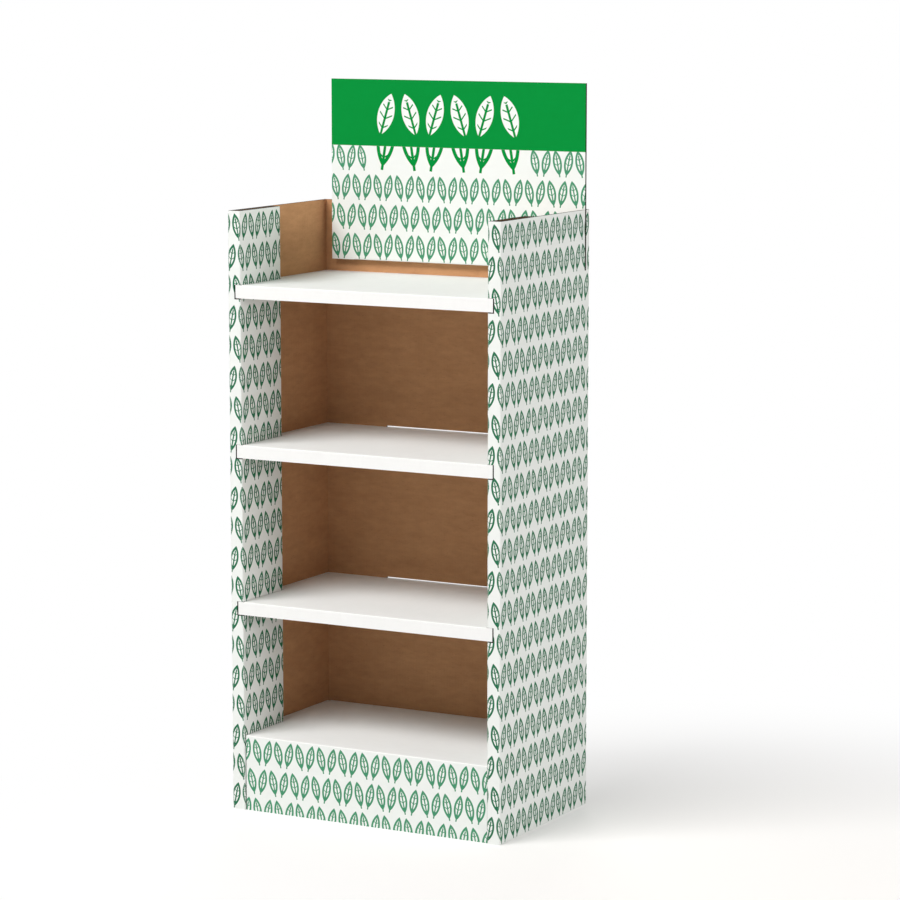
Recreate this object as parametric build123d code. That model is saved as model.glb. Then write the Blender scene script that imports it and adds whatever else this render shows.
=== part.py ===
from build123d import *
import os

# Floor display stand of folded corrugated board: one wrap that makes the back, the sides and two
# front posts, a core of board strips in each post, three lipped shelves, a base shelf with its
# plinth, and a header card.
# Millimetres. +X is to the right seen from the front, +Y points to the back, +Z is up.
# The origin is on the floor, at the centre of the wrap's footprint.

# Board
BOARD = 5.0                # thickness of the double-wall board of every piece
FOLD_RADIUS = 2.5          # outside corner of a creased fold
FOLD_RELIEF = 1.5          # cut-back between two flaps that fold down at one corner

# Wrap
WIDTH = 600.0              # outside, left to right
DEPTH = 371.0              # outside, front to back
POST_WIDTH = 28.0          # front face of each post
RETURN_DEPTH = 150.0       # front of the stand to the rear of a post
GLUE_FLAP = 40.0           # end of the sheet, glued to the side wall inside each post
CORE_PLAY = 0.3            # play round the core that fills each post

# Bays, between the upper faces of the shelves
BASE_TOP = 151.0           # floor to the base shelf
LOWER_BAY = 269.0          # base shelf to the lower shelf
MIDDLE_BAY = 312.0         # lower shelf to the middle shelf
UPPER_BAY = 314.0          # middle shelf to the top shelf
TOP_BAY = 144.0            # top shelf to the upper edge of the walls

# Shelves
LIP = 26.0                 # height of the front lip and of the side flanges
EAR = 11.4                 # reach of the lip over the front of each post
EAR_GAP = 2.6              # play at the end of an ear
EAR_SEAT = 2.5             # part of an ear's thickness that rests on the post's return
EAR_SLIT = 2.2             # open slit under an ear, in front of its seat
NOTCH_CLEARANCE = 0.4      # play above and behind an ear
SIDE_CLEARANCE = 0.8       # play between a shelf and the walls and posts beside it
TAB_WIDTH = 310.0          # rear tab, through the back of the wrap
TAB_PLAY = 0.6             # play at each end of a tab
SNUG_PLAY = 0.3            # play above the top shelf's tab
OPEN_PLAY = 2.4            # play above the tabs of the middle and lower shelves

# Plinth, the front of the base shelf
PLINTH_RECESS = 4.0        # behind the faces of the posts
PLINTH_GAP = 1.5           # between the plinth and each post

# Header card
HEADER_HEIGHT = 363.6
HEADER_DROP = 118.7        # upper edge of the walls to the foot of the card
HEADER_INSET = 27.7        # outside of the left wall to the left edge of the card
HEADER_STANDOFF = 10.2     # back of the wrap, inside, to the rear of the card
HEADER_FOOT_WIDTH = 440.0  # flap folded back from the card's lower edge
HEADER_FOOT_FLAP = 60.0    # part of the flap that is glued to the back of the wrap
HEADER_SLOT_PLAY = 0.3     # play on each side of the card in its slot

# Levels and planes that the pieces share
LOWER_TOP = BASE_TOP + LOWER_BAY
MIDDLE_TOP = LOWER_TOP + MIDDLE_BAY
UPPER_TOP = MIDDLE_TOP + UPPER_BAY
WALL_HEIGHT = UPPER_TOP + TOP_BAY
HALF_WIDTH = WIDTH / 2
HALF_OPENING = HALF_WIDTH - POST_WIDTH
FRONT = -DEPTH / 2
BACK = DEPTH / 2
BACK_INSIDE = BACK - BOARD
POST_REAR = FRONT + RETURN_DEPTH
SHELF_STEP = POST_REAR + SIDE_CLEARANCE
NARROW_HALF = HALF_OPENING - SIDE_CLEARANCE
WIDE_HALF = HALF_WIDTH - BOARD - SIDE_CLEARANCE
HEADER_REAR = BACK_INSIDE - HEADER_STANDOFF
HEADER_FRONT = HEADER_REAR - BOARD
HEADER_BOTTOM = WALL_HEIGHT - HEADER_DROP

# Upper face of each shelf, and the play above its rear tab
SHELVES = {
    "shelf_lower": (LOWER_TOP, OPEN_PLAY),
    "shelf_middle": (MIDDLE_TOP, OPEN_PLAY),
    "shelf_top": (UPPER_TOP, SNUG_PLAY),
}


def panel(x, y, z):
    """Flat board between two limits along each axis."""
    spans = [high - low for low, high in (x, y, z)]
    corner = Pos(x[0], y[0], z[0])
    return corner * Box(*spans, align=(Align.MIN, Align.MIN, Align.MIN))


def plan(x, y):
    """Rectangle of the wrap's plan between two limits along X and Y."""
    return Pos(x[0], y[0]) * Rectangle(x[1] - x[0], y[1] - y[0], align=(Align.MIN, Align.MIN))


def round_corners(sketch, corners):
    """Rounds the outside of the folds that lie at the given corners of a section."""
    folds = [min(sketch.vertices(), key=lambda v: (v.center() - Vector(*c)).length) for c in corners]
    return fillet(folds, FOLD_RADIUS)


def wrap_half(side):
    """Plan of one half of the wrap: side -1 is the left half, side 1 the right half."""

    def across(near, far, y):
        low, high = sorted((side * near, side * far))
        return plan((low, high), y)

    wall_inside = HALF_WIDTH - BOARD
    back = across(0, HALF_WIDTH, (BACK_INSIDE, BACK))
    wall = across(wall_inside, HALF_WIDTH, (FRONT, BACK))
    post_face = across(HALF_OPENING, HALF_WIDTH, (FRONT, FRONT + BOARD))
    post_return = across(HALF_OPENING, HALF_OPENING + BOARD, (FRONT, POST_REAR))
    post_rear = across(HALF_OPENING, wall_inside, (POST_REAR - BOARD, POST_REAR))
    glue_flap = across(wall_inside - BOARD, wall_inside, (POST_REAR - GLUE_FLAP, POST_REAR))
    return back + wall + post_face + post_return + post_rear + glue_flap


def ear_notch(side, top):
    """Notch in the front of a post: its return carries an ear's rear, over a slit in front."""
    foot = top - LIP
    rear = FRONT + BOARD + NOTCH_CLEARANCE

    def across(near, back, low, high):
        x = sorted((side * near, side * (HALF_OPENING + EAR + EAR_GAP)))
        return panel(x, (FRONT - BOARD, back), (low, high))

    notch = across(NARROW_HALF, rear, foot, top + NOTCH_CLEARANCE)
    notch += across(NARROW_HALF, FRONT + BOARD - EAR_SEAT, foot - EAR_SLIT, foot)
    return notch + across(HALF_OPENING + BOARD, rear, foot - EAR_SLIT, foot)


def tab_slot(top, play):
    """Slot in the back of the wrap that carries the rear tab of a shelf."""
    half = TAB_WIDTH / 2 + TAB_PLAY
    return panel((-half, half), (BACK_INSIDE - BOARD, BACK + BOARD), (top - BOARD, top + play))


def body_wrap():
    """One folded sheet: back, sides and hollow posts, with its notches and slots."""
    section = wrap_half(-1) + wrap_half(1)
    folds = [(x, y) for x in (-HALF_WIDTH, HALF_WIDTH) for y in (FRONT, BACK)]
    folds += [(x, y) for x in (-HALF_OPENING, HALF_OPENING) for y in (FRONT, POST_REAR)]
    wrap = extrude(round_corners(section, folds), WALL_HEIGHT)
    for top, play in SHELVES.values():
        wrap -= ear_notch(-1, top) + ear_notch(1, top) + tab_slot(top, play)
    header_slot = panel(
        (HALF_WIDTH - 2 * BOARD, HALF_WIDTH + BOARD),
        (HEADER_FRONT - HEADER_SLOT_PLAY, HEADER_REAR + HEADER_SLOT_PLAY),
        (HEADER_BOTTOM, WALL_HEIGHT + BOARD),
    )
    return wrap - header_slot


def post_core(side):
    """Strips of board, glued into one block, that fill a post from the floor to its upper edge."""
    near = HALF_OPENING + BOARD + CORE_PLAY
    far = HALF_WIDTH - BOARD - CORE_PLAY
    front = FRONT + BOARD + CORE_PLAY

    def strips(end, back):
        return panel(sorted((side * near, side * end)), (front, back), (0, WALL_HEIGHT))

    core = strips(far, POST_REAR - GLUE_FLAP - CORE_PLAY)
    return core + strips(far - BOARD, POST_REAR - BOARD - CORE_PLAY)


def channel(half_width, front, back, top, drop):
    """Shelf panel with a flange folded down along each side."""
    outside = Rectangle(2 * half_width, drop, align=(Align.CENTER, Align.MAX))
    outside = round_corners(outside, [(-half_width, 0), (half_width, 0)])
    hollow = Rectangle(2 * (half_width - BOARD), drop - BOARD, align=(Align.CENTER, Align.MAX))
    section = outside - Pos(0, -BOARD) * hollow
    across = Plane(origin=(0, back, top), x_dir=(1, 0, 0), z_dir=(0, -1, 0))
    return extrude(across * section, back - front)


def folded_edge(half_width, face, top, drop, inward):
    """Panel's edge folded down: inward is 1 for a front edge and -1 for a rear edge."""
    lap = BOARD + FOLD_RELIEF
    outline = Polyline((0, 0), (0, -drop), (BOARD, -drop), (BOARD, -BOARD), (lap, -BOARD), (lap, 0), close=True)
    section = round_corners(make_face(outline), [(0, 0)])
    along = Plane(origin=(-inward * half_width, face, top), x_dir=(0, inward, 0), z_dir=(inward, 0, 0))
    return extrude(along * section, 2 * half_width)


def shelf(top):
    """Folded shelf: lip with ears in front, flanges at the sides, and a tab behind."""
    behind_lip = FRONT + BOARD + FOLD_RELIEF
    tray = channel(NARROW_HALF, behind_lip, SHELF_STEP, top, LIP)
    tray += channel(WIDE_HALF, SHELF_STEP, BACK_INSIDE, top, LIP)
    tray += folded_edge(NARROW_HALF, FRONT, top, LIP, 1)
    ear_end = HALF_OPENING + EAR
    for x in ((-ear_end, -NARROW_HALF), (NARROW_HALF, ear_end)):
        tray += panel(x, (FRONT, FRONT + BOARD), (top - LIP, top))
    return tray + panel((-TAB_WIDTH / 2, TAB_WIDTH / 2), (BACK_INSIDE, BACK), (top - BOARD, top))


def base_shelf():
    """Shelf that stands on the floor: plinth in front, legs at the sides and behind."""
    plinth_face = FRONT + PLINTH_RECESS
    plinth_half = HALF_OPENING - PLINTH_GAP
    leg_half = WIDE_HALF - BOARD - FOLD_RELIEF
    behind_plinth = plinth_face + BOARD + FOLD_RELIEF
    before_leg = BACK_INSIDE - BOARD - FOLD_RELIEF
    tray = channel(NARROW_HALF, behind_plinth, SHELF_STEP, BASE_TOP, BASE_TOP)
    tray += channel(WIDE_HALF, SHELF_STEP, before_leg, BASE_TOP, BASE_TOP)
    tray += folded_edge(plinth_half, plinth_face, BASE_TOP, BASE_TOP, 1)
    return tray + folded_edge(leg_half, BACK_INSIDE, BASE_TOP, BASE_TOP, -1)


def header_card():
    """Card that stands in a slot of the right wall, its foot folded back and glued to the wrap."""
    rise = HEADER_HEIGHT
    reach = BACK_INSIDE - HEADER_FRONT
    flap = HEADER_FOOT_FLAP
    outline = Polyline(
        (0, 0), (0, rise), (BOARD, rise), (BOARD, BOARD),
        (reach - BOARD, BOARD), (reach - BOARD, flap), (reach, flap), (reach, 0), close=True,
    )
    section = round_corners(make_face(outline), [(0, 0), (reach, 0)])
    foot_half = HEADER_FOOT_WIDTH / 2
    along = Plane(origin=(-foot_half, HEADER_FRONT, HEADER_BOTTOM), x_dir=(0, 1, 0), z_dir=(1, 0, 0))
    card = extrude(along * section, HEADER_FOOT_WIDTH)
    for x in ((HEADER_INSET - HALF_WIDTH, -foot_half), (foot_half, HALF_WIDTH)):
        card += panel(x, (HEADER_FRONT, HEADER_REAR), (HEADER_BOTTOM, HEADER_BOTTOM + rise))
    return card


pieces = {
    "body_wrap": body_wrap(),
    "post_core_left": post_core(-1),
    "post_core_right": post_core(1),
    "base_shelf": base_shelf(),
    "header_card": header_card(),
}
for name, (top, play) in SHELVES.items():
    pieces[name] = shelf(top)

os.makedirs("parts", exist_ok=True)
for name, piece in pieces.items():
    piece.label = name
    export_step(piece, f"parts/{name}.step")
    print(f"{name}: {piece.volume / 1000:.0f} cm3")
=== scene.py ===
# %% [markdown]
# # A cardboard display stand
# The stand is folded from sheets of corrugated board: one tall wrap with a core of strips in each
# post, three lipped shelves, a base shelf with its plinth, and a header card. The solids are already
# built at their real size, and this lesson dresses them. The packed model is loaded as a fixed
# frame, and each piece is then folded again from a flat blank, so that every face knows where it
# lies on the unfolded sheet.

# %% Load the frame
import math
from collections import namedtuple

import bpy
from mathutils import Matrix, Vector


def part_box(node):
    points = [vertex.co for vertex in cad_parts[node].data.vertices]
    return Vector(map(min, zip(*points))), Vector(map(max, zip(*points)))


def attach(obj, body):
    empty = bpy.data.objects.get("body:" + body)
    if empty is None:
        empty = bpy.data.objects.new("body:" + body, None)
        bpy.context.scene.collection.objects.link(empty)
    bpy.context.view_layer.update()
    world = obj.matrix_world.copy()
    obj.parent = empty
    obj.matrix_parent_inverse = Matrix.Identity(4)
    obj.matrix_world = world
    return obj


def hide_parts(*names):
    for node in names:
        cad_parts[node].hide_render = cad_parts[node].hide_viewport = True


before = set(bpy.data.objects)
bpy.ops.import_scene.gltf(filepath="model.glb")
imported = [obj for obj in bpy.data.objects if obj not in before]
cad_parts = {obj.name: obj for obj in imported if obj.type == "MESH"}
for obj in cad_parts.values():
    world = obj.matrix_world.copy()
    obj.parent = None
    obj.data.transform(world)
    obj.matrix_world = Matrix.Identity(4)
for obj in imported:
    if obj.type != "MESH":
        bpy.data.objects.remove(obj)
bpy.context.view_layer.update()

print("nodes:", sorted(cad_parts))

# %% [markdown]
# ## Measures
# Most sizes can be read from the boxes of the solids. The back of the header's foot is glued to the
# inside of the wrap, so the distance from there to the outside is the thickness of the board. The
# sizes that no box shows, such as the width of a post, are written here once.

# %% Read the measures
wrap_low, wrap_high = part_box("body_wrap")
base_low, base_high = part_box("base_shelf")
card_low, card_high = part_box("header_card")
SHELF_NAMES = ("shelf_lower", "shelf_middle", "shelf_top")
shelf_boxes = {name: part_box(name) for name in SHELF_NAMES}

BOARD = wrap_high.y - card_high.y
HALF_WIDTH = wrap_high.x
FRONT = wrap_low.y
BACK = wrap_high.y
BACK_INSIDE = card_high.y
WALL_TOP = wrap_high.z
WIDE_HALF = base_high.x
SIDE_CLEARANCE = HALF_WIDTH - BOARD - WIDE_HALF

FOLD_RADIUS = 0.0025
FOLD_RELIEF = 0.0015
POST_WIDTH = 0.028
RETURN_DEPTH = 0.150
GLUE_FLAP = 0.040
GLUE_LINE = 0.0001
EAR = 0.0114
EAR_GAP = 0.0026
EAR_SEAT = 0.0025
EAR_SLIT = 0.0022
NOTCH_CLEARANCE = 0.0004
TAB_WIDTH = 0.310
TAB_PLAY = 0.0006
SLOT_PLAY = {"shelf_lower": 0.0024, "shelf_middle": 0.0024, "shelf_top": 0.0003}
PLINTH_GAP = 0.0015
HEADER_FOOT_WIDTH = 0.440
HEADER_FOOT_FLAP = 0.060
HEADER_SLOT_PLAY = 0.0003

HALF_OPENING = HALF_WIDTH - POST_WIDTH
POST_REAR = FRONT + RETURN_DEPTH
NARROW_HALF = HALF_OPENING - SIDE_CLEARANCE
SHELF_STEP = POST_REAR + SIDE_CLEARANCE
EAR_END = HALF_OPENING + EAR
print(f"board {BOARD * 1000:.1f} mm, opening {2 * HALF_OPENING * 1000:.0f} mm")

# %% [markdown]
# ## Folding a blank
# A carton is drawn flat and folded at its creases. The helper below does the same: it walks along
# the printed side of the sheet from corner to corner, rounds the outside of each crease, and keeps
# the distance walked as a flat coordinate. Windows are cut out of the flat sheet before it is
# folded. A grid of thick cells then becomes a closed mesh with four kinds of face: the face side,
# the reverse, edges cut across the flutes, and edges cut along them. A modelled box with booleans
# would give the same outline, but it would lose the flat coordinates that the print needs.

# %% Walk along a folded sheet
ARC_STEPS = 6
CREASE_FADE = 0.007
Stop = namedtuple("Stop", "face reverse flat crease")


def left_of(way):
    """Unit vector on the printed side of a sheet that runs along the given way."""
    return Vector((-way.y, way.x))


def round_crease(corner, side, turned, flat):
    """Stops round the outside of a crease; the reverse of the board stays at one heel."""
    hub = corner - (side + turned) * FOLD_RADIUS
    heel = corner - (side + turned) * BOARD
    stops = []
    for step in range(1, ARC_STEPS):
        share = step / ARC_STEPS
        angle = share * math.pi / 2
        face = hub + (side * math.cos(angle) + turned * math.sin(angle)) * FOLD_RADIUS
        stops.append(Stop(face, heel, flat + (2 * share - 1) * FOLD_RADIUS, 1.0))
    return stops


def fold_stops(corners, cuts):
    """Stops along the sheet: face point, reverse point, flat distance and how creased it is there."""
    corners = [Vector(c) for c in corners]
    legs = [b - a for a, b in zip(corners, corners[1:])]
    final = len(legs) - 1
    stops = []
    start = 0.0
    for k, leg in enumerate(legs):
        way = leg.normalized()
        side = left_of(way)
        first = FOLD_RADIUS if k > 0 else 0.0
        last = leg.length - (FOLD_RADIUS if k < final else 0.0)
        inner_first = BOARD if k > 0 else 0.0
        inner_last = leg.length - (BOARD if k < final else 0.0)
        marks = {first: float(k > 0), last: float(k < final)}
        for mark in (CREASE_FADE, leg.length - CREASE_FADE, *(cut - start for cut in cuts)):
            if first < mark < last:
                marks.setdefault(mark, 0.0)
        for mark in sorted(marks):
            face = corners[k] + way * mark
            inner = min(max(mark, inner_first), inner_last)
            reverse = corners[k] + way * inner - side * BOARD
            stops.append(Stop(face, reverse, start + mark, marks[mark]))
        start += leg.length
        if k < final:
            turned = left_of(legs[k + 1].normalized())
            stops += round_crease(corners[k + 1], side, turned, start)
    return stops


print("a crease is rounded in", ARC_STEPS, "steps")

# %% [markdown]
# The second half of the helper turns the stops into faces. Each face carries its finish and, for
# every corner, its flat place in metres, which becomes the UV map. On a cut edge the flat place is
# instead the distance along the edge and the depth through the board, so that the edge's material
# can draw the wavy layers of the board to scale.

# %% Collect the faces of a piece
class Boards:
    """Collects the faces of one piece while its boards are folded."""

    def __init__(self):
        self.points = []
        self.creases = []
        self.faces = []

    def point(self, place, crease):
        self.points.append(place)
        self.creases.append(crease)
        return len(self.points) - 1

    def face(self, finish, corners):
        """Adds a face from (point, flat place) pairs; corners that meet at a crease are joined."""
        kept = []
        for corner in corners:
            if not kept or corner[0] != kept[-1][0]:
                kept.append(corner)
        if kept[0][0] == kept[-1][0]:
            kept.pop()
        if len(kept) > 2:
            self.faces.append((finish, kept))


print("a piece collects", list(vars(Boards())))

# %% Make a thick board from the stops
# The sides are also the places of the two points in a stop.
FACE_SIDE = 0
REVERSE_SIDE = 1
JOIN_DIGITS = 6


def inside(window, u, s):
    """True if a flat place lies in a window, given as (u low, u high, s low, s high)."""
    return window[0] < u < window[1] and window[2] < s < window[3]


def as_walked(u, s):
    """Flat place of a sheet whose print follows the walk along it."""
    return u, s


def fold_board(boards, corners, span, place, finishes, windows=(), flat=as_walked, flutes_along_span=True):
    """Folds a sheet along its corners, spans it between two limits and cuts the windows out."""
    stops = fold_stops(corners, [w[k] for w in windows for k in (0, 1)])
    levels = sorted({*span, *(w[k] for w in windows for k in (2, 3) if span[0] < w[k] < span[1])})
    points = {}

    def middle(i, j):
        return (stops[i].flat + stops[i + 1].flat) / 2, (levels[j] + levels[j + 1]) / 2

    def run(i, j):
        return stops[i].flat

    def rise(i, j):
        return levels[j]

    def corner(side, i, j):
        spot = stops[i][side]
        key = (side, round(spot.x, JOIN_DIGITS), round(spot.y, JOIN_DIGITS), j)
        if key not in points:
            points[key] = boards.point(place(spot.x, spot.y, levels[j]), stops[i].crease)
        return points[key]

    def face_finish(i, j):
        finish = finishes["face"]
        return finish(middle(i, j)[0]) if callable(finish) else finish

    def skin(side, finish, ring):
        boards.face(finish, [(corner(side, *spot), flat(run(*spot), rise(*spot))) for spot in ring])

    def cut(finish, first, last, along):
        ring = [(FACE_SIDE, first), (REVERSE_SIDE, first), (REVERSE_SIDE, last), (FACE_SIDE, last)]
        boards.face(finish, [(corner(side, *spot), (along(*spot), side * BOARD)) for side, spot in ring])

    cells = [(i, j) for i in range(len(stops) - 1) for j in range(len(levels) - 1)]
    kept = {cell for cell in cells if not any(inside(w, *middle(*cell)) for w in windows)}
    end_finish = finishes["across"] if flutes_along_span else finishes["along"]
    side_finish = finishes["along"] if flutes_along_span else finishes["across"]
    for i, j in kept:
        ring = [(i, j), (i, j + 1), (i + 1, j + 1), (i + 1, j)]
        skin(FACE_SIDE, face_finish(i, j), ring)
        skin(REVERSE_SIDE, finishes["reverse"], ring[::-1])
        if (i, j + 1) not in kept:
            cut(end_finish, ring[1], ring[2], run)
        if (i, j - 1) not in kept:
            cut(end_finish, ring[3], ring[0], run)
        if (i + 1, j) not in kept:
            cut(side_finish, ring[2], ring[3], rise)
        if (i - 1, j) not in kept:
            cut(side_finish, ring[0], ring[1], rise)


def upright(x, y, z):
    """Places a plan that is drawn in X and Y and spans along Z."""
    return (x, y, z)


def crosswise(y, z, x):
    """Places a section that is drawn in Y and Z and spans along X."""
    return (x, y, z)


print("boards can be folded upright, or crosswise from a section")

# %% [markdown]
# The last helper makes a Blender object. It writes the finishes as material slots, the flat places
# as a UV map called `flat`, and how creased each point is as an attribute called `crease`. A
# Weighted Normal modifier lets the large panels keep their flat shading right up to the rounded
# creases. The piece then takes the solid's place and rides on the stand's only body.

# %% Turn boards into an object
SHARP_ANGLE = math.radians(40)


def finish_piece(name, node, boards):
    """Makes the object, hides the solid that it stands for and fixes it to the stand."""
    mesh = bpy.data.meshes.new(name)
    mesh.from_pydata(boards.points, [], [[c[0] for c in corners] for _, corners in boards.faces])
    materials = []
    for finish, _ in boards.faces:
        if finish not in materials:
            materials.append(finish)
    for material in materials:
        mesh.materials.append(material)
    uv = mesh.uv_layers.new(name="flat")
    crease = mesh.attributes.new("crease", "FLOAT", "POINT")
    for spot, value in zip(crease.data, boards.creases):
        spot.value = value
    for polygon, (finish, corners) in zip(mesh.polygons, boards.faces):
        polygon.material_index = materials.index(finish)
        polygon.use_smooth = True
        for loop, (_, spot) in zip(polygon.loop_indices, corners):
            uv.data[loop].uv = spot
    mesh.set_sharp_from_angle(angle=SHARP_ANGLE)
    piece = bpy.data.objects.new(name, mesh)
    bpy.context.scene.collection.objects.link(piece)
    shading = piece.modifiers.new("flat panels", "WEIGHTED_NORMAL")
    shading.keep_sharp = True
    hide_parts(node)
    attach(piece, "root")
    print(f"{name}: {len(mesh.polygons)} faces, finishes {[m.name for m in materials]}")


print(f"edges over {math.degrees(SHARP_ANGLE):.0f} degrees stay sharp")

# %% [markdown]
# ## Writing shader arithmetic
# The print is drawn by arithmetic on the flat coordinates, which keeps its lines sharp at any
# distance. Dozens of Math nodes are hard to read as node links, so a small class lets them be
# written as a formula: each operator adds its own Math node and links it.

# %% Numbers that change over a surface
class Flow:
    """A value in a shader tree that can be used in plain arithmetic."""

    def __init__(self, tree, socket):
        self.tree = tree
        self.socket = socket

    def do(self, operation, *others, clamp=False):
        node = self.tree.nodes.new("ShaderNodeMath")
        node.operation = operation
        node.use_clamp = clamp
        for slot, value in zip(node.inputs, (self, *others)):
            feed(self.tree, slot, value)
        return Flow(self.tree, node.outputs[0])

    def __add__(self, other):
        return self.do("ADD", other)

    def __sub__(self, other):
        return self.do("SUBTRACT", other)

    def __mul__(self, other):
        return self.do("MULTIPLY", other)

    def __truediv__(self, other):
        return self.do("DIVIDE", other)

    def __neg__(self):
        return self * -1.0

    def size(self):
        return self.do("ABSOLUTE")

    def floor(self):
        return self.do("FLOOR")

    def most(self, other):
        return self.do("MAXIMUM", other)

    def rest(self):
        """What is left of one: 1 where the value is 0, and 0 where it is 1."""
        return -self + 1.0

    def step(self, blur):
        """1 where the value is over zero and 0 where it is under, softened over a width."""
        return (self / blur).do("ADD", 0.5, clamp=True)


def feed(tree, slot, value):
    """Links a flow or an output to a socket, or sets the socket to a plain value."""
    if isinstance(value, Flow):
        tree.links.new(value.socket, slot)
    elif isinstance(value, bpy.types.NodeSocket):
        tree.links.new(value, slot)
    else:
        slot.default_value = value


print("a flow can", [name for name in vars(Flow) if not name.startswith("_")])

# %% [markdown]
# An effect that several finishes share is a node group: it is built once, with named inputs and
# outputs, and placed in each material with that material's own values.

# %% Nodes and groups
def feed_inputs(tree, node, inputs):
    """Feeds a node's inputs by name, written with _ in place of spaces."""
    for name, value in inputs.items():
        feed(tree, node.inputs[name.replace("_", " ")], value)


def add_node(tree, kind, settings=None, **inputs):
    """Adds a node, sets its properties and feeds its inputs."""
    node = tree.nodes.new(kind)
    for name, value in (settings or {}).items():
        setattr(node, name, value)
    feed_inputs(tree, node, inputs)
    return node


def new_group(name, inputs, outputs):
    """Starts a node group; inputs and outputs are lists of (name, kind)."""
    tree = bpy.data.node_groups.new(name, "ShaderNodeTree")
    for way, sockets in (("INPUT", inputs), ("OUTPUT", outputs)):
        for label, kind in sockets:
            tree.interface.new_socket(name=label, in_out=way, socket_type=f"NodeSocket{kind}")
    source = tree.nodes.new("NodeGroupInput")
    target = tree.nodes.new("NodeGroupOutput")
    return tree, source.outputs, target.inputs


def place_group(tree, group, **inputs):
    """Places a finished group in a material and feeds its inputs."""
    node = add_node(tree, "ShaderNodeGroup", {"node_tree": group})
    feed_inputs(tree, node, inputs)
    return node.outputs


def split_flat(tree, vector):
    """The two flat coordinates of a vector, as flows."""
    parts = add_node(tree, "ShaderNodeSeparateXYZ", Vector=vector).outputs
    return Flow(tree, parts[0]), Flow(tree, parts[1])


def join_flat(tree, x, y):
    """A vector from two flat coordinates."""
    return add_node(tree, "ShaderNodeCombineXYZ", X=x, Y=y).outputs[0]


print("shader groups can be built and placed")

# %% [markdown]
# ## Effect: rows of leaves
# The stand's white board is printed with rows of green line drawings. Here the drawing is a plain
# leaf: two arcs, a rib with a short stem, and a few veins. Every second row is shifted by half a
# column, and neighbours lean opposite ways. The two arcs of a leaf are the overlap of two large
# circles, and the distance to their edge is one square root, so one formula gives the outline, the
# filled leaf and the room for the veins. The group is used at three sizes: for the small rows on
# the wrap, the plinth and the header, and for the header's frieze and its hanging leaves.

# %% The leaf print group
INK_BLUR = 0.0003
VEIN_SLOPE = 0.75
VEIN_SHARE = 0.32
VEIN_SPACING = 0.44
VEIN_REACH = 0.72
RIB_TOP = 0.60
STEM_SHARE = 1.12


def make_leaf_print():
    """Group with the leaf rows: Line is the drawn outline, Fill the leaf without its rib."""
    sizes = ("Column", "Row", "Half Height", "Half Width", "Stroke", "Rib", "Lean", "Shift")
    inputs = [("Flat", "Vector")] + [(name, "Float") for name in sizes]
    tree, given, result = new_group("leaf_print", inputs, [("Line", "Float"), ("Fill", "Float")])
    value = {name: Flow(tree, given[name]) for name in sizes}
    x, y = split_flat(tree, given["Flat"])
    row = (y / value["Row"]).floor()
    from_row = y - (row + 0.5) * value["Row"]
    odd_row = row.do("FLOORED_MODULO", 2.0)
    shifted = x + odd_row * value["Shift"] * value["Column"]
    column = (shifted / value["Column"]).floor()
    from_column = shifted - (column + 0.5) * value["Column"]
    lean = ((column + row).do("FLOORED_MODULO", 2.0) * 2.0 - 1.0) * value["Lean"]
    cosine = lean.do("COSINE")
    sine = lean.do("SINE")
    across = from_column * cosine + from_row * sine
    upward = from_row * cosine - from_column * sine
    aside = across.size()
    height = value["Half Height"]
    width = value["Half Width"]
    radius = (height * height + width * width) / (width * 2.0)
    off_centre = aside + radius - width
    edge = (off_centre * off_centre + upward * upward).do("SQRT") - radius
    stroke = value["Stroke"]
    outline = (stroke * 0.5 - (edge + stroke * 0.5).size()).step(INK_BLUR)
    stem_foot = (upward + height * STEM_SHARE).step(INK_BLUR)
    rib_tip = (height * RIB_TOP - upward).step(INK_BLUR)
    rib = (value["Rib"] * 0.5 - aside).step(INK_BLUR) * stem_foot * rib_tip
    spacing = height * VEIN_SPACING
    beat = (upward - aside * VEIN_SLOPE) / spacing
    near_vein = (beat - beat.floor() - 0.5).size() * spacing
    veins = (value["Rib"] * VEIN_SHARE - near_vein).step(INK_BLUR)
    veins = veins * (-edge - stroke * 0.5).step(INK_BLUR)
    veins = veins * (height * VEIN_REACH - upward.size()).step(INK_BLUR)
    leaf = (-edge).step(INK_BLUR)
    feed(tree, result["Line"], outline.most(rib).most(veins))
    feed(tree, result["Fill"], leaf * rib.most(veins).rest())
    return tree


leaf_print = make_leaf_print()
print("leaf_print:", len(leaf_print.nodes), "nodes")

# %% [markdown]
# ## Effect: paper on flutes
# A liner is a thin paper glued over flutes. Several things show on it: long fibres and small flecks,
# soft clouds and streaks where the pulp is thicker, and a faint washboard where the paper sinks
# between the flutes. The group gives them as a height for the bump, and as a cloud value and flecks
# for the colour. Flutes run along the second flat coordinate. Each noise is written with its spots
# per metre across and along the flutes, its detail and its roughness.

# %% The paper group
FIBRES = (260.0, 1500.0, 3.0, 0.60)
STREAKS = (38.0, 96.0, 2.0, 0.55)
FLECKS = (105.0, 430.0, 2.0, 0.55)
CLOUDS = (9.0, 26.0, 5.0, 0.66)
NOISE_MIDDLE = 0.5
FIBRE_HEIGHT = 0.5
CLOUD_SHARE = 0.65
FIBRE_SHARE = 0.30
STREAK_SHARE = 0.45
CLOUD_LIFT = 0.025
FLECK_LIMIT = 0.62
FLECK_CONTRAST = 9.0


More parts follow.
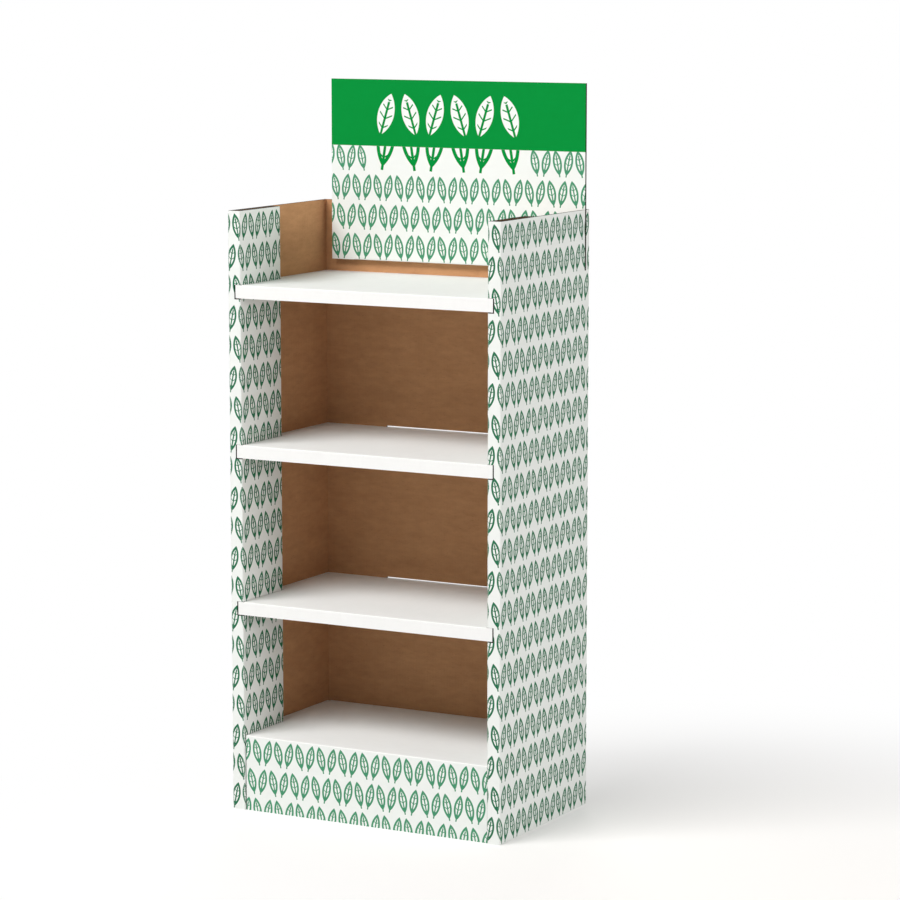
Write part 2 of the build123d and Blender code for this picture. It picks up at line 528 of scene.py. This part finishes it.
def make_paper():
    """Group with the relief and the mottling of a liner over flutes."""
    inputs = [("Flat", "Vector"), ("Flute Pitch", "Float"), ("Washboard", "Float")]
    outputs = [("Height", "Float"), ("Cloud", "Float"), ("Fleck", "Float")]
    tree, given, result = new_group("paper_on_flutes", inputs, outputs)
    x, y = split_flat(tree, given["Flat"])

    def noise(across, along, detail, roughness):
        spot = join_flat(tree, x * across, y * along)
        look = {"Scale": 1.0, "Detail": detail, "Roughness": roughness}
        return Flow(tree, add_node(tree, "ShaderNodeTexNoise", Vector=spot, **look).outputs[0])

    fibres = noise(*FIBRES)
    flutes = (x / Flow(tree, given["Flute Pitch"]) * (2 * math.pi)).do("SINE")
    height = fibres * FIBRE_HEIGHT + flutes * Flow(tree, given["Washboard"])
    streaks = (noise(*STREAKS) - NOISE_MIDDLE) * STREAK_SHARE
    cloud = noise(*CLOUDS) * CLOUD_SHARE + fibres * FIBRE_SHARE + streaks + CLOUD_LIFT
    flecks = ((noise(*FLECKS) - FLECK_LIMIT) * FLECK_CONTRAST).do("ADD", 0.0, clamp=True)
    feed(tree, result["Height"], height)
    feed(tree, result["Cloud"], cloud)
    feed(tree, result["Fleck"], flecks)
    return tree


paper_on_flutes = make_paper()
print("paper_on_flutes:", len(paper_on_flutes.nodes), "nodes")

# %% [markdown]
# ## Effect: rubbed creases
# Board that has been folded is rubbed along its creases: the ink breaks and the paper turns dull.
# The mesh stores how creased each point is, and noise breaks that up into small scuffs.

# %% The crease group
SCUFFS = {"Scale": 420.0, "Detail": 4.0, "Roughness": 0.7}
SCUFF_LIMIT = 0.62
SCUFF_CONTRAST = 6.0


def make_crease_rub():
    """Group with the scuffs along the folds."""
    inputs = [("Flat", "Vector"), ("Amount", "Float")]
    tree, given, result = new_group("crease_rub", inputs, [("Rub", "Float")])
    crease = Flow(tree, add_node(tree, "ShaderNodeAttribute", {"attribute_name": "crease"}).outputs["Fac"])
    cells = add_node(tree, "ShaderNodeTexNoise", Vector=given["Flat"], **SCUFFS)
    broken = (Flow(tree, cells.outputs[0]) - SCUFF_LIMIT) * SCUFF_CONTRAST + crease
    scuffs = broken.do("MULTIPLY", crease, clamp=True)
    feed(tree, result["Rub"], scuffs * Flow(tree, given["Amount"]))
    return tree


crease_rub = make_crease_rub()
print("crease_rub:", len(crease_rub.nodes), "nodes")

# %% [markdown]
# ## Finish: bare kraft
# The inside of the wrap and the backs of the printed pieces are bare kraft liner, a warm brown paper
# with darker clouds and small flecks. Each liner material starts in the same way, so helpers make
# the material, read the flat map and add the paper's relief to the shader.

# %% Start a paper material
PAPER_SPECULAR = 0.06
FLUTE_PITCH = 0.0065
LINER_RELIEF = 0.00012
CLOUD_CONTRAST = 2.0
# The Mix node keeps its sockets for colours at these places.
MIX_SHARE = 0
MIX_FIRST = 6
MIX_SECOND = 7
MIX_RESULT = 2


def new_paper(name, roughness):
    """Material of dull paper; returns it with its tree, shader and flat map."""
    material = bpy.data.materials.new(name)
    material.use_nodes = True
    tree = material.node_tree
    shader = tree.nodes["Principled BSDF"]
    shader.inputs["Roughness"].default_value = roughness
    shader.inputs["Specular IOR Level"].default_value = PAPER_SPECULAR
    flat = add_node(tree, "ShaderNodeUVMap", {"uv_map": "flat"}).outputs[0]
    return material, tree, shader, flat


def add_relief(tree, shader, height, distance):
    """Raises the surface by a height that is written as a share of a distance."""
    bump = add_node(tree, "ShaderNodeBump", Height=height, Strength=1.0, Distance=distance)
    feed(tree, shader.inputs["Normal"], bump.outputs[0])


def new_liner(name, roughness, washboard):
    """Paper material over flutes; returns the outputs of its paper group as well."""
    material, tree, shader, flat = new_paper(name, roughness)
    paper = place_group(tree, paper_on_flutes, Flat=flat, Flute_Pitch=FLUTE_PITCH, Washboard=washboard)
    add_relief(tree, shader, paper["Height"], LINER_RELIEF)
    return material, tree, shader, flat, paper


def blend(tree, share, first, second):
    """Colour that goes from the first to the second as the share goes from 0 to 1."""
    node = add_node(tree, "ShaderNodeMix", {"data_type": "RGBA"})
    feed(tree, node.inputs[MIX_SHARE], share)
    feed(tree, node.inputs[MIX_FIRST], first)
    feed(tree, node.inputs[MIX_SECOND], second)
    return node.outputs[MIX_RESULT]


def clouded(tree, paper, dark, light):
    """Colour that wanders from a dark to a light tone with the clouds of the paper."""
    cloud = (Flow(tree, paper["Cloud"]) - NOISE_MIDDLE) * CLOUD_CONTRAST
    return blend(tree, cloud.do("ADD", NOISE_MIDDLE, clamp=True), dark, light)


print(f"flutes are {FLUTE_PITCH * 1000:.1f} mm apart")

# %% Make the kraft liner
KRAFT_ROUGHNESS = 0.85
KRAFT_WASHBOARD = 0.35
KRAFT_DARK = (0.460, 0.235, 0.113, 1.0)
KRAFT_LIGHT = (0.616, 0.330, 0.164, 1.0)
KRAFT_FLECK = (0.22, 0.105, 0.050, 1.0)
FLECK_SHARE = 0.30


def make_kraft():
    material, tree, shader, _, paper = new_liner("bare_kraft", KRAFT_ROUGHNESS, KRAFT_WASHBOARD)
    brown = clouded(tree, paper, KRAFT_DARK, KRAFT_LIGHT)
    flecks = Flow(tree, paper["Fleck"]) * FLECK_SHARE
    feed(tree, shader.inputs["Base Color"], blend(tree, flecks, brown, KRAFT_FLECK))
    return material


kraft = make_kraft()
print("finish:", kraft.name)

# %% [markdown]
# ## Finish: white liner and its print
# The shelves are plain white liner. The wrap, the plinth and the header carry the leaf print on a
# slightly cooler white. The wrap's ink is darker than that of the two cards. Ink lies thin on
# paper, so its colour is a little uneven, it is a touch smoother than the paper, and it rubs off
# along the creases.

# %% Make the white liner
WHITE_ROUGHNESS = 0.62
WHITE_WASHBOARD = 0.16
PAPER_WHITE = (0.895, 0.895, 0.882, 1.0)
PAPER_SHADE = (0.865, 0.863, 0.848, 1.0)
RUBBED = (0.70, 0.68, 0.63, 1.0)
PLAIN_RUB = 0.25


def rubbed_creases(tree, flat, amount):
    """Mask of the scuffs along the folds."""
    return Flow(tree, place_group(tree, crease_rub, Flat=flat, Amount=amount)["Rub"])


def make_white():
    material, tree, shader, flat, paper = new_liner("white_liner", WHITE_ROUGHNESS, WHITE_WASHBOARD)
    ground = clouded(tree, paper, PAPER_SHADE, PAPER_WHITE)
    rub = rubbed_creases(tree, flat, PLAIN_RUB)
    feed(tree, shader.inputs["Base Color"], blend(tree, rub, ground, RUBBED))
    return material


white = make_white()
print("finish:", white.name)

# %% Make the printed liners
PRINT_WHITE = (0.850, 0.870, 0.846, 1.0)
PRINT_SHADE = (0.818, 0.838, 0.812, 1.0)
WRAP_INK = ((0.015, 0.140, 0.064, 1.0), (0.028, 0.174, 0.085, 1.0))
CARD_INK = ((0.050, 0.258, 0.132, 1.0), (0.076, 0.300, 0.164, 1.0))
PRINT_RUB = 0.5
BARED_SHARE = 0.4
INK_SMOOTHNESS = 0.12
PRINTED_ROWS = 20
PRINT = {
    "Column": 0.0245,
    "Row": WALL_TOP / PRINTED_ROWS,
    "Half_Height": 0.0255,
    "Half_Width": 0.0095,
    "Stroke": 0.0040,
    "Rib": 0.0028,
    "Lean": 0.20,
    "Shift": 0.5,
}


def leaves(tree, flat, sizes, part):
    """Mask of the leaf rows at the given sizes: their Line or their Fill."""
    return Flow(tree, place_group(tree, leaf_print, Flat=flat, **sizes)[part])


def ink_colour(tree, paper, ink):
    """Green ink, a little thinner where the paper is cloudy."""
    full, thin = ink
    return blend(tree, Flow(tree, paper["Cloud"]), full, thin)


def finish_print(tree, shader, flat, paper, ink, colour):
    """Lays ink on the printed liner's white, rubs the creases and sets the gloss."""
    ground = clouded(tree, paper, PRINT_SHADE, PRINT_WHITE)
    rub = rubbed_creases(tree, flat, PRINT_RUB)
    held = ink * rub.rest()
    printed = blend(tree, held, blend(tree, rub * BARED_SHARE, ground, RUBBED), colour)
    feed(tree, shader.inputs["Base Color"], printed)
    feed(tree, shader.inputs["Roughness"], held * -INK_SMOOTHNESS + WHITE_ROUGHNESS)


def make_printed(name, inks):
    material, tree, shader, flat, paper = new_liner(name, WHITE_ROUGHNESS, WHITE_WASHBOARD)
    ink = leaves(tree, flat, PRINT, "Line")
    finish_print(tree, shader, flat, paper, ink, ink_colour(tree, paper, inks))
    return material


wrap_printed = make_printed("wrap_printed_liner", WRAP_INK)
plinth_printed = make_printed("plinth_printed_liner", CARD_INK)
print("finishes:", wrap_printed.name, plinth_printed.name)

# %% [markdown]
# ## Finish: the header's print
# The header has a solid green band at the top with a frieze of white leaves. Larger green leaves
# hang from the band over a clear patch of white, and the small rows fill the rest. Its flat map is
# simply X and Z in metres, so the layout can be written with the card's own measures. The frieze
# and the hanging leaves are single rows, so their row is made taller than the card.

# %% Make the header print
BAND_INK = ((0.0, 0.240, 0.034, 1.0), (0.0, 0.270, 0.044, 1.0))
BAND_HEIGHT = 0.133
FRIEZE_DROP = 0.52
FRIEZE_MIDDLE = -0.006
FRIEZE_COUNT = 6
SINGLE_ROW = 1.0
FRIEZE = {
    "Column": 0.056,
    "Row": SINGLE_ROW,
    "Half_Height": 0.043,
    "Half_Width": 0.0185,
    "Stroke": 0.008,
    "Rib": 0.005,
    "Lean": 0.30,
    "Shift": 0.0,
}
HANGING = {
    "Column": 0.056,
    "Row": SINGLE_ROW,
    "Half_Height": 0.054,
    "Half_Width": 0.021,
    "Stroke": 0.0075,
    "Rib": 0.006,
    "Lean": 0.16,
    "Shift": 0.0,
}
HANGING_LIFT = 0.012
CLEAR_COLUMNS = 7.5
CLEAR_ROWS = 3


def make_header_print():
    material, tree, shader, flat, paper = new_liner("header_printed_liner", WHITE_ROUGHNESS, WHITE_WASHBOARD)
    x, z = split_flat(tree, flat)
    band_foot = card_high.z - BAND_HEIGHT
    half_row = FRIEZE_COUNT * FRIEZE["Column"] / 2
    from_middle = (x - FRIEZE_MIDDLE).size()
    in_band = (z - band_foot).step(INK_BLUR)
    below_band = in_band.rest()
    in_row = (-from_middle + half_row).step(INK_BLUR)

    def single_row(height, sizes, part):
        """Mask of one row of leaves that is centred at a height of the card."""
        row_flat = join_flat(tree, x - (FRIEZE_MIDDLE - half_row), z - height + SINGLE_ROW / 2)
        return leaves(tree, row_flat, sizes, part) * in_row

    frieze = single_row(card_high.z - BAND_HEIGHT * FRIEZE_DROP, FRIEZE, "Fill")
    hanging = single_row(band_foot + HANGING_LIFT, HANGING, "Line")
    small = leaves(tree, join_flat(tree, x - FRIEZE_MIDDLE, z - card_low.z), PRINT, "Line")
    clear = (-from_middle + CLEAR_COLUMNS * PRINT["Column"]).step(INK_BLUR)
    clear = clear * (z - card_low.z - CLEAR_ROWS * PRINT["Row"]).step(INK_BLUR)
    rows = below_band * small * clear.rest()
    ink = (in_band * frieze.rest()).most(below_band * hanging).most(rows)
    colour = blend(tree, rows, ink_colour(tree, paper, BAND_INK), ink_colour(tree, paper, CARD_INK))
    finish_print(tree, shader, flat, paper, ink, colour)
    return material


header_printed = make_header_print()
print("finish:", header_printed.name, len(header_printed.node_tree.nodes), "nodes")

# %% [markdown]
# ## Finish: cut edges
# A cut through the board shows three thin papers with two waves between them. The hollows of the
# flutes are painted nearly black, as painted shade, and the papers a dark brown far below the paper's
# own brown, so that the whole edge carries painted shade. An edge cut along the flutes shows the same
# layers as long streaks. One maker draws both: only the length of the wave differs.

# %% Make the cut edges
EDGE_ROUGHNESS = 0.95
EDGE_RELIEF = 0.0006
# Painted shade: the hollow colour is near black, and the paper colour is much darker than kraft.
EDGE_PAPER_SHADED = (0.042, 0.032, 0.022, 1.0)
EDGE_HOLLOW_SHADE = (0.007, 0.006, 0.0045, 1.0)
LINER_THICKNESS = 0.00042
MEDIUM_THICKNESS = 0.0004
EDGE_BLUR = 0.00012
EDGE_WOBBLE = {"Scale": 55.0, "Detail": 3.0}
WOBBLE_SHARE = 0.35
LONG_STREAK = 0.11


def make_cut_edge(name, pitch):
    material, tree, shader, flat = new_paper(name, EDGE_ROUGHNESS)
    along, depth = split_flat(tree, flat)
    wobble = add_node(tree, "ShaderNodeTexNoise", Vector=flat, **EDGE_WOBBLE)
    along = along + (Flow(tree, wobble.outputs[0]) - NOISE_MIDDLE) * pitch * WOBBLE_SHARE
    middle = BOARD / 2
    to_liner = (depth - middle).size()
    papers = (to_liner - (middle - LINER_THICKNESS)).step(EDGE_BLUR)
    papers = papers.most((-to_liner + LINER_THICKNESS / 2).step(EDGE_BLUR))
    wave = (along / pitch * (2 * math.pi)).do("SINE") * (middle / 2 - LINER_THICKNESS)
    for centre in (middle / 2, middle * 1.5):
        near = (depth - centre - wave).size()
        papers = papers.most((-near + MEDIUM_THICKNESS).step(EDGE_BLUR))
    # The edge's colours are painted shade: near black in the hollows, dark brown on the papers.
    feed(tree, shader.inputs["Base Color"], blend(tree, papers, EDGE_HOLLOW_SHADE, EDGE_PAPER_SHADED))
    add_relief(tree, shader, papers, EDGE_RELIEF)
    return material


wavy_edge = make_cut_edge("wavy_cut_edge", FLUTE_PITCH)
streaked_edge = make_cut_edge("streaked_cut_edge", LONG_STREAK)
EDGES = {"across": wavy_edge, "along": streaked_edge}
print("finishes:", wavy_edge.name, streaked_edge.name)

# %% [markdown]
# ## Piece: the wrap
# One sheet makes the back, the sides and both front posts. Starting from the glue flap inside the
# left post, it runs round the whole stand and always turns the same way, with the print outside.
# The notches that carry the shelves' ears go round the post's inner crease, the slots for the rear
# tabs are in the back, and an open slot in the right wall takes the end of the header. The corners
# are counted from the left glue flap.

# %% Cut the wrap's windows
LEFT_POST_CORNER = 3
LEFT_BACK_CORNER = 5
RIGHT_BACK_CORNER = 6
RIGHT_POST_CORNER = 8


def wrap_windows(starts):
    """Windows of the wrap in flat coordinates; starts holds the flat place of each corner."""
    windows = []
    notch_depth = BOARD + NOTCH_CLEARANCE
    slit_depth = BOARD - EAR_SEAT
    notch_width = EAR + EAR_GAP
    half_tab = TAB_WIDTH / 2 + TAB_PLAY
    left_post = starts[LEFT_POST_CORNER]
    right_post = starts[RIGHT_POST_CORNER]
    right_back = starts[RIGHT_BACK_CORNER]
    back_middle = (starts[LEFT_BACK_CORNER] + right_back) / 2
    for name in SHELF_NAMES:
        low, high = shelf_boxes[name]
        notch = (low.z, high.z + NOTCH_CLEARANCE)
        slit = (low.z - EAR_SLIT, low.z)
        for depth, rise in ((notch_depth, notch), (slit_depth, slit)):
            windows.append((left_post - depth, left_post + notch_width, *rise))
            windows.append((right_post - notch_width, right_post + depth, *rise))
        slot = (high.z - BOARD, high.z + SLOT_PLAY[name])
        windows.append((back_middle - half_tab, back_middle + half_tab, *slot))
    header_rear = right_back + BACK - (card_low.y + BOARD) - HEADER_SLOT_PLAY
    header_front = right_back + BACK - card_low.y + HEADER_SLOT_PLAY
    windows.append((header_rear, header_front, card_low.z, WALL_TOP + BOARD))
    return windows


print("windows in the wrap: notches, slits and a slot for", len(SHELF_NAMES), "shelves, one header slot")

# %% Fold the wrap
def fold_wrap():
    flap_face = HALF_WIDTH - BOARD - GLUE_LINE
    left = [
        (-flap_face, POST_REAR - GLUE_FLAP),
        (-flap_face, POST_REAR),
        (-HALF_OPENING, POST_REAR),
        (-HALF_OPENING, FRONT),
        (-HALF_WIDTH, FRONT),
        (-HALF_WIDTH, BACK),
    ]
    right = [(-x, y) for x, y in reversed(left)]
    corners = left + right
    starts = [0.0]
    for a, b in zip(corners, corners[1:]):
        starts.append(starts[-1] + math.dist(a, b))
    boards = Boards()
    finishes = {"face": wrap_printed, "reverse": kraft, **EDGES}
    fold_board(boards, corners, (0.0, WALL_TOP), upright, finishes, wrap_windows(starts))
    print(f"the wrap's blank is {starts[-1] * 1000:.0f} by {WALL_TOP * 1000:.0f} mm")
    finish_piece("body_wrap_board", "body_wrap", boards)


fold_wrap()

# %% [markdown]
# ## Pieces: the post cores
# Each post is filled with three strips of the same board that stand on the floor. Only their upper
# ends show, as a dark band of open flutes: their cut edges carry the painted shade of the edge finish,
# so the top of each post reads as dark as a shaded hollow. The outer strip is shorter, because the
# wrap's glue flap lies behind it.

# %% Stand the strips in the posts
CORE_STRIPS = 3


def stand_core(name):
    low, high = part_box(name)
    on_left = low.x < 0.0
    pitch = (high.x - low.x - BOARD) / (CORE_STRIPS - 1)
    play = abs(high.x if on_left else low.x) - HALF_OPENING - BOARD
    boards = Boards()
    finishes = {"face": kraft, "reverse": kraft, **EDGES}
    for k in range(CORE_STRIPS):
        x = high.x - BOARD - k * pitch if on_left else low.x + k * pitch
        outermost = k == CORE_STRIPS - 1
        rear = POST_REAR - GLUE_FLAP - play if outermost else high.y
        fold_board(boards, [(x, low.y), (x, rear)], (low.z, high.z), upright, finishes)
    finish_piece(f"{name}_strips", name, boards)


for core_name in ("post_core_left", "post_core_right"):
    stand_core(core_name)

# %% [markdown]
# ## Pieces: the shelves
# A shelf is one sheet seen from the side: up the lip, over the front crease, back along the top and
# out through the slot as a tab. Windows take away the corners, so that it is narrow between the
# posts and wide behind them. The flanges under its sides and the ears of the lip are flat boards
# that meet it. The flutes run from side to side, which is the way a shelf has to be stiff.

# %% Fold the shelves
def side_flanges(boards, front, back, half, foot, top, finishes):
    """Boards folded down along both sides of a shelf."""
    for run in ([(half, back), (half, front)], [(-half, front), (-half, back)]):
        fold_board(boards, run, (foot, top - BOARD), upright, finishes)


def outside_of(half, limit, low, high):
    """Two windows that take away both sides of a crosswise sheet beyond a half width."""
    return [(low, high, -limit - BOARD, -half), (low, high, half, limit + BOARD)]


def fold_shelf(name):
    low, high = shelf_boxes[name]
    top = high.z
    lip = high.z - low.z
    boards = Boards()
    finishes = {"face": white, "reverse": white, **EDGES}
    corners = [(FRONT, low.z), (FRONT, top), (BACK, top)]
    to_step = lip + SHELF_STEP - FRONT
    to_back = lip + BACK_INSIDE - FRONT
    windows = outside_of(NARROW_HALF, WIDE_HALF, -BOARD, to_step)
    windows += outside_of(TAB_WIDTH / 2, WIDE_HALF, to_back, to_back + 2 * BOARD)
    fold_board(boards, corners, (-WIDE_HALF, WIDE_HALF), crosswise, finishes, windows)
    ear = [(FRONT, low.z), (FRONT, top)]
    for span in ((-EAR_END, -NARROW_HALF), (NARROW_HALF, EAR_END)):
        fold_board(boards, ear, span, crosswise, finishes)
    behind_lip = FRONT + BOARD + FOLD_RELIEF
    side_flanges(boards, behind_lip, SHELF_STEP, NARROW_HALF, low.z, top, finishes)
    side_flanges(boards, SHELF_STEP, BACK_INSIDE, WIDE_HALF, low.z, top, finishes)
    finish_piece(f"{name}_board", name, boards)


for shelf_name in SHELF_NAMES:
    fold_shelf(shelf_name)

# %% [markdown]
# ## Piece: the base shelf
# The base shelf is folded like the others, but its front runs down to the floor as the printed
# plinth, and its sides and rear are legs. The print stops at the front crease: above it the same
# sheet is plain white.

# %% Fold the base shelf
def fold_base():
    top = base_high.z
    plinth_face = base_low.y
    boards = Boards()

    def face(u):
        return plinth_printed if u < top - FOLD_RADIUS else white

    def from_the_crease(u, s):
        return s, u - top

    finishes = {"face": face, "reverse": kraft, **EDGES}
    corners = [(plinth_face, 0.0), (plinth_face, top), (BACK_INSIDE, top), (BACK_INSIDE, 0.0)]
    to_step = top + SHELF_STEP - plinth_face
    to_rear = top + BACK_INSIDE - plinth_face
    plinth_half = HALF_OPENING - PLINTH_GAP
    leg_half = WIDE_HALF - BOARD - FOLD_RELIEF
    rear_legs = to_rear - BOARD - FOLD_RELIEF
    windows = outside_of(plinth_half, WIDE_HALF, -BOARD, top + BOARD + FOLD_RELIEF)
    windows += outside_of(NARROW_HALF, WIDE_HALF, top + BOARD, to_step)
    windows += outside_of(leg_half, WIDE_HALF, rear_legs, to_rear + top + BOARD)
    span = (-WIDE_HALF, WIDE_HALF)
    fold_board(
        boards, corners, span, crosswise, finishes, windows, flat=from_the_crease, flutes_along_span=False
    )
    white_legs = {**finishes, "face": white}
    behind_plinth = plinth_face + BOARD + FOLD_RELIEF
    before_leg = BACK_INSIDE - BOARD - FOLD_RELIEF
    side_flanges(boards, behind_plinth, SHELF_STEP, NARROW_HALF, 0.0, top, white_legs)
    side_flanges(boards, SHELF_STEP, before_leg, WIDE_HALF, 0.0, top, white_legs)
    finish_piece("base_shelf_board", "base_shelf", boards)


fold_base()

# %% [markdown]
# ## Piece: the header card
# The header stands in front of the back panel. Its right end sits in the wall's slot, and its foot
# is folded back and up, where it is glued to the inside of the wrap. The middle of the card is
# folded with that foot, and the two ends are flat.

# %% Fold the header
def fold_header():
    boards = Boards()
    bottom = card_low.z
    top = card_high.z
    front = card_low.y
    flap_top = bottom + HEADER_FOOT_FLAP
    foot_length = HEADER_FOOT_FLAP + BACK_INSIDE - front
    half = HEADER_FOOT_WIDTH / 2
    finishes = {"face": header_printed, "reverse": kraft, **EDGES}

    def on_foot(u, s):
        return s, u - foot_length + bottom

    def on_card(u, s):
        return s, u + bottom

    foot = [(BACK_INSIDE, flap_top), (BACK_INSIDE, bottom), (front, bottom), (front, top)]
    fold_board(boards, foot, (-half, half), crosswise, finishes, flat=on_foot, flutes_along_span=False)
    card = [(front, bottom), (front, top)]
    for span in ((card_low.x, -half), (half, card_high.x)):
        fold_board(boards, card, span, crosswise, finishes, flat=on_card, flutes_along_span=False)
    finish_piece("header_card_board", "header_card", boards)


fold_header()

# %% [markdown]
# ## Stage
# The stand is photographed on a white floor in soft light, with a faint warm shadow to its right.
# The floor's paint shows where that shadow lies and fades to pure white around it. Only what looks
# at the floor directly sees this, so the board is lit by a plain studio and not by the background.

# %% Lay the floor
WHITE = (1.0, 1.0, 1.0, 1.0)
FLOOR_HALF = 40.0
FLOOR_COLOUR = (0.62, 0.615, 0.605, 1.0)
FLOOR_SEEN = (1.0, 0.98, 0.962, 1.0)
SHADE_CENTRE = (0.78, -0.26, 0.0)
FADE_REACH = 1.62


def seen_directly(tree):
    """1 for the camera, in a reflection or through glass, and 0 for light that falls on the stand."""
    path = add_node(tree, "ShaderNodeLightPath").outputs
    seen = Flow(tree, path["Is Camera Ray"]).most(Flow(tree, path["Is Glossy Ray"]))
    return seen.most(Flow(tree, path["Is Transmission Ray"]))


def show_mix(tree, share, first, second, output_kind):
    """Mixes two shaders and gives the mix to the output."""
    mix = add_node(tree, "ShaderNodeMixShader")
    feed(tree, mix.inputs[0], share)
    feed(tree, mix.inputs[1], first.outputs[0])
    feed(tree, mix.inputs[2], second.outputs[0])
    add_node(tree, output_kind, Surface=mix.outputs[0])


def make_floor_paint():
    material = bpy.data.materials.new("white_floor")
    material.use_nodes = True
    tree = material.node_tree
    tree.nodes.clear()
    seen = seen_directly(tree)
    paint = add_node(tree, "ShaderNodeBsdfDiffuse", Color=blend(tree, seen, FLOOR_COLOUR, FLOOR_SEEN))
    glow = add_node(tree, "ShaderNodeEmission", Color=WHITE, Strength=1.0)
    reach = add_node(tree, "ShaderNodeVectorMath", {"operation": "DISTANCE"})
    feed(tree, reach.inputs[0], add_node(tree, "ShaderNodeNewGeometry").outputs["Position"])
    feed(tree, reach.inputs[1], SHADE_CENTRE)
    fade = add_node(tree, "ShaderNodeMapRange", {"interpolation_type": "SMOOTHSTEP"})
    feed(tree, fade.inputs["Value"], reach.outputs["Value"])
    feed(tree, fade.inputs["From Max"], FADE_REACH)
    show_mix(tree, Flow(tree, fade.outputs[0]) * seen, paint, glow, "ShaderNodeOutputMaterial")
    return material


def make_floor():
    corners = [(x * FLOOR_HALF, y * FLOOR_HALF, 0.0) for x, y in ((-1, -1), (1, -1), (1, 1), (-1, 1))]
    mesh = bpy.data.meshes.new("studio_floor")
    mesh.from_pydata(corners, [], [(0, 1, 2, 3)])
    mesh.materials.append(make_floor_paint())
    floor = bpy.data.objects.new("studio_floor", mesh)
    bpy.context.scene.collection.objects.link(floor)
    print("floor:", floor.name, "painted with", mesh.materials[0].name)


make_floor()

# %% [markdown]
# ## Light
# A wide window high on the left in front lights the fronts and the tops of the shelves. A low fill
# far to the right lights the right side and thins the shadow, a weak one keeps the back readable,
# and a plain warm ambient light fills the bays. The lamps are far away, so the light hardly falls
# off over the stand, and they stay weak enough that no white board clips.

# %% Light the studio
AMBIENT = 0.30
AMBIENT_TINT = (1.0, 0.975, 0.945, 1.0)
LAMPS = {
    "key_window": {"place": (-4.10, -9.20, 10.38), "width": 10.0, "height": 5.0, "power": 1870.0},
    "right_fill": {"place": (13.87, -1.46, 1.87), "width": 5.0, "height": 2.4, "power": 790.0},
    "back_fill": {"place": (-6.0, 12.0, 3.6), "width": 5.0, "height": 5.0, "power": 560.0},
}
LOOK_AT = Vector((0.0, 0.0, 0.65))


def make_world():
    """White for the camera, and a plain, slightly warm ambient light for the object."""
    world = bpy.data.worlds.new("studio")
    world.use_nodes = True
    bpy.context.scene.world = world
    tree = world.node_tree
    tree.nodes.clear()
    ambient = add_node(tree, "ShaderNodeBackground", Color=AMBIENT_TINT, Strength=AMBIENT)
    backdrop = add_node(tree, "ShaderNodeBackground", Color=WHITE, Strength=1.0)
    show_mix(tree, seen_directly(tree), ambient, backdrop, "ShaderNodeOutputWorld")


def add_lamp(name, place, width, height, power):
    light = bpy.data.lights.new(name, "AREA")
    light.shape = "RECTANGLE"
    light.size = width
    light.size_y = height
    light.energy = power
    lamp = bpy.data.objects.new(name, light)
    lamp.location = place
    lamp.rotation_euler = (LOOK_AT - Vector(place)).to_track_quat("-Z", "Y").to_euler()
    bpy.context.scene.collection.objects.link(lamp)


make_world()
for lamp_name, lamp_values in LAMPS.items():
    add_lamp(lamp_name, **lamp_values)
print("lamps:", list(LAMPS))

# %% [markdown]
# ## Camera
# The camera stands to the right of the stand and a little above its top, far away, with a long
# lens: the sides of the stand run almost parallel. Its place, turn and lens are those that put the
# stand's corners where the photograph has them.

# %% Set the camera
CAMERA_PLACE = (3.22479, -5.73018, 1.66783)
CAMERA_TURN = 0.5005
CAMERA_DIP = math.radians(8.222)
FOCAL_PIXELS = 3378.94
FRAME_PIXELS = 900
SENSOR = 36.0

camera_data = bpy.data.cameras.new("camera")
camera_data.sensor_width = SENSOR
camera_data.lens = FOCAL_PIXELS / FRAME_PIXELS * SENSOR
camera = bpy.data.objects.new("camera", camera_data)
camera.location = CAMERA_PLACE
camera.rotation_euler = (math.pi / 2 - CAMERA_DIP, 0.0, CAMERA_TURN)
bpy.context.scene.collection.objects.link(camera)
bpy.context.scene.camera = camera
bpy.context.scene.view_settings.view_transform = "Standard"
print(f"lens {camera_data.lens:.1f} mm")

# %% [markdown]
